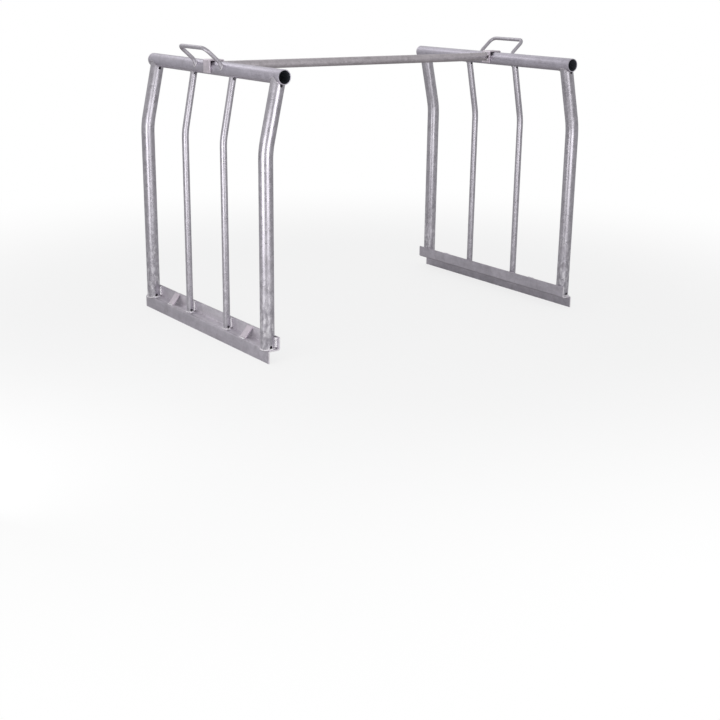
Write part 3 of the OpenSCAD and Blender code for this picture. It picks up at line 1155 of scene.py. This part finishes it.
@dataclass
class FrameWelds:
    """Where the beads of one end frame run.

    Attributes:
        rail: The frame's rail.
        bar: The frame's crossbar.
        handle: The frame's handle.
        crank_drop: The distance from the crossbar's axis down to the crank.
        notch: Half the width that a vent notch takes out of a bead.
        off: How far a bead's path lies off the faces that it joins.
        seam: How far the path of an upright bead lies off the tube and the flange.
        handle_off: How far a handle bead's path lies off the rod.
    """

    rail: FoldedRail
    bar: TopTube
    handle: LiftHandle
    crank_drop: float = 203 * MM
    notch: float = 5.4 * MM
    off: float = 0.5 * MM
    seam: float = 3.0 * MM
    handle_off: float = 0.3 * MM

    def _stems(self, end: End) -> list[Stem]:
        """The corner post and the thin upright at one end of the frame."""
        return [Stem.of(f"{self.rail.side.word}_{end.value}_{kind}") for kind in ("post", "upright")]

    def _placed(self, runs: list[Run]) -> list[Run]:
        """Beads of the +X frame, put at this frame's side."""
        sign = self.rail.side.value
        return [([Vector((p.x * sign, p.y, p.z)) for p in path], *rest) for path, *rest in runs]

    def rail_runs(self) -> list[Run]:
        """Lays out the beads on the rail: feet, seams and strap ends.

        Returns:
            The beads.
        """
        runs = []
        seeds = itertools.count(*RAIL_SEEDS)
        for end in End:
            for stem in self._stems(end):
                seed = next(seeds)
                runs.append(self._foot(stem, seed))
                runs += self._seams(stem, seed + SEAM_SEED)
            runs += self._strap_ends(end, next(seeds))
        return self._placed(runs)

    def _foot(self, stem: Stem, seed: int) -> Run:
        """The bead round the foot of an upright, open where the flange stands.

        Past the web's flat it sinks a little with the outer fold and draws in.

        Args:
            stem: The upright.
            seed: The bead's seed.

        Returns:
            The bead.
        """
        rail = self.rail
        clear, lift = 2.2 * MM, 0.6 * MM
        most_past, draw, most_fall = 4 * MM, 0.4, 2.4 * MM
        big = rail.bend + rail.t
        ring = stem.d / 2 + self.off
        path = []
        for turn in evenly(-math.pi, math.pi, steps=144):
            x = stem.x + ring * math.cos(turn)
            if x < rail.flange_out + clear:
                continue
            past = max(x - rail.web_end, 0.0)
            fall = big - math.sqrt(max(0.0, big * big - past * past))
            reach = ring - min(past, most_past) * draw
            z = rail.web_top + lift - min(fall, most_fall)
            path.append(Vector((stem.x + reach * math.cos(turn), stem.y + reach * math.sin(turn), z)))
        return path, FOOT_BEAD, seed

    def _seams(self, stem: Stem, seed: int) -> list[Run]:
        """The two upright beads that join an upright to the flange.

        Args:
            stem: The upright.
            seed: The first bead's seed.

        Returns:
            The beads.
        """
        over_web, under_edge, sunk = 2 * MM, 1.5 * MM, 0.4 * MM
        gap = stem.x - self.rail.flange_out - self.seam
        aside = math.sqrt((stem.d / 2 + self.seam) ** 2 - gap * gap)
        x = self.rail.flange_out + self.seam - sunk
        heights = evenly(self.rail.web_top + over_web, self.rail.high.z - under_edge, steps=12)
        runs = []
        for k, sign in enumerate((-1, 1)):
            path = [Vector((x, stem.y + sign * aside, z)) for z in heights]
            runs.append((path, SEAM_BEAD, seed + k))
        return runs

    def _strap_ends(self, end: End, seed: int) -> list[Run]:
        """The beads along both ends of a strap.

        Args:
            end: Which strap.
            seed: The lower bead's seed.

        Returns:
            The beads.
        """
        rail = self.rail
        low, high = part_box(f"{rail.side.word}_{end.value}_gusset")
        short = 1.0 * MM
        across = evenly(low.y + short, high.y - short, steps=10)
        toe_out, toe_up, top_out, top_down = 0.3 * MM, 0.2 * MM, 0.4 * MM, 0.3 * MM
        toe = (rail.web_end + toe_out, rail.web_top + toe_up, STRAP_TOE_BEAD)
        top = (rail.flange_out + top_out, rail.high.z - top_down, STRAP_TOP_BEAD)
        return [
            ([Vector((x, y, z)) for y in across], shape, seed + k)
            for k, (x, z, shape) in enumerate((toe, top))
        ]

    def bar_runs(self) -> list[Run]:
        """Lays out the saddle beads under the crossbar.

        Returns:
            The beads.
        """
        runs = []
        seeds = itertools.count(*SADDLE_SEEDS)
        for end in End:
            for stem in self._stems(end):
                runs += self._saddle(stem, next(seeds))
        return self._placed(runs)

    def _saddle(self, stem: Stem, seed: int) -> list[Run]:
        """Two beads where an upright meets the crossbar, parted by its vent notches.

        Args:
            stem: The upright.
            seed: The first bead's seed.

        Returns:
            The beads.
        """
        centre = Vector((abs(self.bar.axis.x), stem.y, self.bar.axis.z))
        lean = math.atan2(stem.x - centre.x, self.crank_drop)
        along = Vector((-math.sin(lean), 0, math.cos(lean)))
        across = Vector((math.cos(lean), 0, math.sin(lean)))
        tube = stem.d / 2 + self.off
        bar = self.bar.radius + self.off
        least_back = 6.5 * MM
        stop = math.degrees(math.asin(self.notch / tube))
        runs = []
        for k, base in enumerate((0.0, 180.0)):
            path = []
            for degrees in evenly(base - 90 + stop, base + 90 - stop, steps=60):
                turn = math.radians(degrees)
                aside = tube * math.cos(turn)
                back = max(math.sqrt(max(0.0, bar * bar - aside * aside)), least_back)
                point = centre - along * back + across * aside
                point.y += tube * math.sin(turn)
                path.append(point)
            runs.append((path, SADDLE_BEAD, seed + k))
        return runs

    def handle_runs(self) -> list[Run]:
        """Lays out a bead round each handle foot.

        Returns:
            The beads.
        """
        handle = self.handle
        centre = Vector((abs(self.bar.axis.x), 0, self.bar.axis.z))
        base, up = handle.foot()
        across = Vector((up.z, 0, -up.x))
        reach = handle.rod / 2 + self.handle_off
        runs = []
        for sign, seed in zip((-1, 1), itertools.count(*HANDLE_SEEDS)):
            path = []
            for turn in evenly(math.pi, math.pi + math.tau, steps=72):
                spoke = (across * math.cos(turn) + Vector((0, math.sin(turn), 0))) * reach
                spot = handle.seated(base + spoke, self.bar.radius + self.off)
                spot.y += sign * handle.pitch / 2
                path.append(centre + spot)
            runs.append((path, HANDLE_BEAD, seed))
        return self._placed(runs)


@dataclass
class EndFrame:
    """One end frame of the collar.

    Attributes:
        side: The end of the collar.
        layer: What lays the weld beads.
    """

    side: Side
    layer: WeldLayer

    def build(self, nodes: dict[str, Object]) -> None:
        """Makes the frame's pieces and dresses its packed tubes.

        Args:
            nodes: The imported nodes, by name.
        """
        word = self.side.word
        rail = FoldedRail(self.side)
        bar = TopTube(self.side)
        handle = LiftHandle(self.side, bar.axis, bar.radius)
        pieces = [*rail.build(), bar.build(), handle.build()]
        welds = FrameWelds(rail, bar, handle)
        for name, runs, skin in (
            ("rail", welds.rail_runs(), None),
            # The saddle beads under the crossbar take the darker weld finish, as painted shade.
            ("crossbar", welds.bar_runs(), Skin.SADDLE_WELD),
            ("handle", welds.handle_runs(), None),
        ):
            beads = self.layer.beads(f"{word}_{name}_beads", runs, skin)
            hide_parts(f"{word}_{name}_welds")
            pieces.append(beads)
        for kind, skin in (("post", Skin.POST), ("upright", Skin.UPRIGHT)):
            for end in End:
                name = f"{word}_{end.value}_{kind}"
                nodes[name].material_slots[0].material = skin.material
                LOG.info("dressed %s", name)
        for piece in pieces:
            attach(piece, f"{word}_end_frame")
            LOG.info("built %s, %d faces", piece.name, len(piece.data.polygons))


@dataclass
class ConnectingBar:
    """The tube that ties the frames, with a square hook at each end.

    Attributes:
        layer: What lays the weld beads.
        t: The thickness of the hooks' flat bar.
        bend: The inside radius of their folds.
        edge: The rounding of their edges.
        notch: Half the width that a vent notch takes out of a bead.
        off: How far a bead's path lies off the tube.
        back: How far it lies inward of the hook's face.
    """

    layer: WeldLayer
    t: float = 4 * MM
    bend: float = 1.5 * MM
    edge: float = 0.8 * MM
    notch: float = 5.2 * MM
    off: float = 0.5 * MM
    back: float = 1.0 * MM

    def build(self, nodes: dict[str, Object]) -> None:
        """Makes the hooks and the beads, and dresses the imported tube.

        Args:
            nodes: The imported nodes, by name.
        """
        hooks = [self._hook(side) for side in Side]
        seeds = itertools.count(*TUBE_END_SEEDS)
        runs = [run for side, seed in zip(Side, seeds) for run in self._end_beads(side, seed)]
        beads = self.layer.beads("bar_beads", runs)
        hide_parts("bar_welds")
        nodes["connecting_tube"].material_slots[0].material = Skin.TIE.material
        for piece in [*hooks, beads]:
            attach(piece, "connecting_bar")
            LOG.info("built %s, %d faces", piece.name, len(piece.data.polygons))

    def _section(self, low: Vector, high: Vector) -> Outline:
        """A hook's outline, for the +X side.

        Args:
            low: The low corner of its packed box.
            high: The high corner of its packed box.

        Returns:
            The outline.
        """
        centre = abs(low.x + high.x) / 2
        half = (high.x - low.x) / 2
        inner = half - self.t
        big = self.bend + self.t
        right, left, z = centre + half - big, centre - half + big, high.z - big
        points = [(centre + half, low.z)]
        points += arc(right, z, big, 0, 90, steps=8) + arc(left, z, big, 90, 180, steps=8)
        points += [(centre - half, low.z), (centre - inner, low.z)]
        points += arc(left, z, self.bend, 180, 90, steps=6) + arc(right, z, self.bend, 90, 0, steps=6)
        return points + [(centre + inner, low.z)]

    def _hook(self, side: Side) -> Object:
        """Makes one hook.

        Args:
            side: The end of the bar that it is at.

        Returns:
            The piece.
        """
        node = f"{side.word}_hook"
        low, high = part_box(node)
        name = f"{side.word}_square_hook"
        hook = folded_bar(name, self._section(low, high), (low.y, high.y), side, [Skin.FLAT_BAR])
        eased(hook, self.edge, steps=3)
        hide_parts(node)
        return hook

    def _end_beads(self, side: Side, seed: int) -> list[Run]:
        """The beads over and under one end of the tube, parted by its vent notches.

        Args:
            side: The end of the bar.
            seed: The first bead's seed.

        Returns:
            The beads.
        """
        low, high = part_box("connecting_tube")
        middle = (low + high) / 2
        radius = (high.y - low.y) / 2 + self.off
        stop = math.degrees(math.asin(self.notch / radius))
        x = side.value * (high.x - self.back)
        runs = []
        for k, base in enumerate((0.0, 180.0)):
            bow = arc(middle.y, middle.z, radius, base + stop, base + 180 - stop, steps=30)
            runs.append(([Vector((x, y, z)) for y, z in bow], TUBE_END_BEAD, seed + k))
        return runs


@dataclass(frozen=True)
class Panel:
    """A soft lamp that stands round the object.

    Attributes:
        name: The lamp's name.
        turn: Its bearing from the camera's side towards the picture's right, in degrees.
        away: Its level distance from the object's middle.
        height: The height of its middle.
        wide: Its width.
        tall: Its height from edge to edge.
        share: Its share of the plain lamp level.
        aim: The height that it faces.
    """

    name: str
    turn: float
    away: float
    height: float
    wide: float
    tall: float
    share: float
    aim: float


@dataclass
class Studio:
    """The floor, the lamps and the camera.

    Attributes:
        focal: The lens's focal length, in millimetres.
        sensor: The width of the camera's sensor, in millimetres.
        far: The distance past which the camera sees nothing.
        eye: The camera's place.
        right: The picture's right.
        down: The picture's down.
        ahead: The view direction.
        soft: What a lamp's panel gives off, as a radiance.
        ambient: What the surroundings give off to matt surfaces.
        mirrored: What the surroundings give off to shiny surfaces.
        floor_half: Half the floor's width.
        floor_tone: The floor's colour.
        floor_rough: The floor's roughness.
        backing: The share of plain white in the floor under the object, as the camera sees it.
        fade: The distances from the object where the floor starts to whiten and where it is white.
        panels: The lamps.
    """

    focal: float = 62.494
    sensor: float = 36.0
    far: float = 200.0
    eye: tuple[float, float, float] = (-2.419645, -3.389408, 1.094171)
    right: tuple[float, float, float] = (0.81566853, -0.57837862, 0.01276808)
    down: tuple[float, float, float] = (-0.16087038, -0.24795957, -0.95532025)
    ahead: tuple[float, float, float] = (0.55570277, 0.77717066, -0.2952968)
    soft: float = 3.0
    ambient: float = 0.5
    mirrored: float = 0.62
    floor_half: float = 80.0
    floor_tone: Colour = (0.8, 0.8, 0.805)
    floor_rough: float = 0.7
    backing: float = 0.78
    fade: tuple[float, float] = (0.9, 2.6)
    panels: tuple[Panel, ...] = (
        Panel("left_panel", -34.0, 1.9, 0.5, 0.8, 0.9, 0.9, 0.5),
        Panel("right_panel", 22.0, 2.5, 0.6, 1.4, 1.1, 0.92, 0.55),
        Panel("back_panel", -126.0, 3.05, 2.9, 1.7, 0.9, 0.52, 0.8),
        Panel("far_panel", -165.0, 3.0, 3.0, 3.2, 1.8, 0.14, 0.8),
    )

    def build(self) -> None:
        """Sets up everything but the object."""
        bpy.context.scene.view_settings.view_transform = "Standard"
        self._camera()
        self._floor()
        self._world()
        self._lamps()

    def _camera(self) -> None:
        """Places the camera."""
        data = bpy.data.cameras.new("view")
        data.lens = self.focal
        data.sensor_width = self.sensor
        data.clip_end = self.far
        camera = placed("view", data)
        columns = (Vector(self.right), -Vector(self.down), -Vector(self.ahead))
        turn = Matrix(columns).transposed().to_4x4()
        camera.matrix_world = Matrix.Translation(Vector(self.eye)) @ turn
        bpy.context.scene.camera = camera

    def _floor(self) -> None:
        """Lays a wide pale floor that fades to white far from the object."""
        work = bmesh.new()
        corners = [(-1, -1), (1, -1), (1, 1), (-1, 1)]
        work.faces.new([work.verts.new((self.floor_half * x, self.floor_half * y, 0.0)) for x, y in corners])
        mesh = bpy.data.meshes.new("floor")
        work.to_mesh(mesh)
        work.free()
        mesh.materials.append(self._floor_skin())
        placed("floor", mesh)

    def _floor_skin(self) -> Material:
        """Makes the floor's material, matt to the light and partly plain white to the camera.

        Returns:
            The material.
        """
        made, kit = new_material("pale_floor")
        matt = {"Base Color": (*self.floor_tone, 1.0), "Roughness": self.floor_rough}
        surface = kit.add("ShaderNodeBsdfPrincipled", matt).outputs[0]
        white = kit.add("ShaderNodeEmission", {"Color": WHITE, "Strength": 1.0}).outputs[0]
        away = kit.level("ShaderNodeVectorMath", {0: kit.object_point()}, "Value", operation="LENGTH")
        share = self.backing + away.rise(*self.fade) * (1.0 - self.backing)
        mix = kit.add("ShaderNodeMixShader", {0: share * kit.seen(), 1: surface, 2: white})
        kit.add("ShaderNodeOutputMaterial", {"Surface": mix.outputs[0]})
        return made

    def _world(self) -> None:
        """Surrounds all with white, dimmer as a light and in reflections than to the eye."""
        world = bpy.data.worlds.new("studio")
        world.use_nodes = True
        kit = NodeKit(world.node_tree)
        glossy = kit.level("ShaderNodeLightPath", {}, "Is Glossy Ray")
        strength = self.ambient + kit.seen() * (1.0 - self.ambient) + glossy * (self.mirrored - self.ambient)
        glow = kit.add("ShaderNodeBackground", {"Color": WHITE, "Strength": strength})
        kit.add("ShaderNodeOutputWorld", {"Surface": glow.outputs[0]})
        bpy.context.scene.world = world

    def _lamps(self) -> None:
        """Stands soft panels to both sides of the view and hangs weaker ones behind the object."""
        flat = Vector((self.ahead[0], self.ahead[1], 0)).normalized()
        aside = Vector((self.right[0], self.right[1], 0)).normalized()
        for panel in self.panels:
            angle = math.radians(panel.turn)
            place = (aside * math.sin(angle) - flat * math.cos(angle)) * panel.away
            place.z = panel.height
            data = bpy.data.lights.new(panel.name, "AREA")
            data.shape = "RECTANGLE"
            data.size, data.size_y = panel.wide, panel.tall
            data.energy = self.soft * panel.share * math.pi * panel.wide * panel.tall
            lamp = placed(panel.name, data)
            lamp.location = place
            lamp.rotation_euler = (Vector((0, 0, panel.aim)) - place).to_track_quat("-Z", "Y").to_euler()
            lamp.visible_camera = False


def main() -> None:
    """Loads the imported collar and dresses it."""
    logging.basicConfig(level=logging.INFO, format="%(name)s: %(message)s")
    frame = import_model()
    layer = WeldLayer(Skin.WELD)
    for side in Side:
        EndFrame(side, layer).build(frame["nodes"])
    ConnectingBar(layer).build(frame["nodes"])
    Studio().build()


if __name__ == "__main__":
    main()
